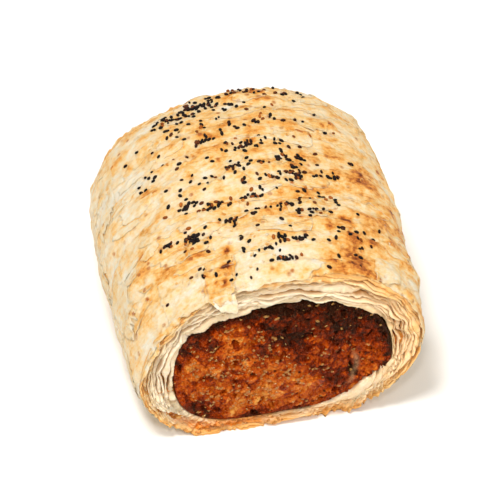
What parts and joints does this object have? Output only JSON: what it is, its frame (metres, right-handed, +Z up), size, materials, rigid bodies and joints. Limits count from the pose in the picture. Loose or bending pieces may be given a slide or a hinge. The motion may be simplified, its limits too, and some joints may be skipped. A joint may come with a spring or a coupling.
{
  "type": "sausage roll",
  "caption": "Short thick cut of sausage roll, a flaky baked pastry crust wrapped round a minced meat filling that shows at both flat cut ends.",
  "frame": {"origin": "under the middle of the whole, on the plane it rests on", "axes": "+Y along the roll towards the back cut end, +Z up, the shown cut end towards -Y"},
  "size_m": [0.0568, 0.0654, 0.0366],
  "materials": {
    "baked_pastry": "dry, flaky and matt",
    "minced_meat": "moist and greasy"
  },
  "bodies": {
    "root": {"crust": "baked_pastry", "filling": "minced_meat"}
  },
  "joints": []
}
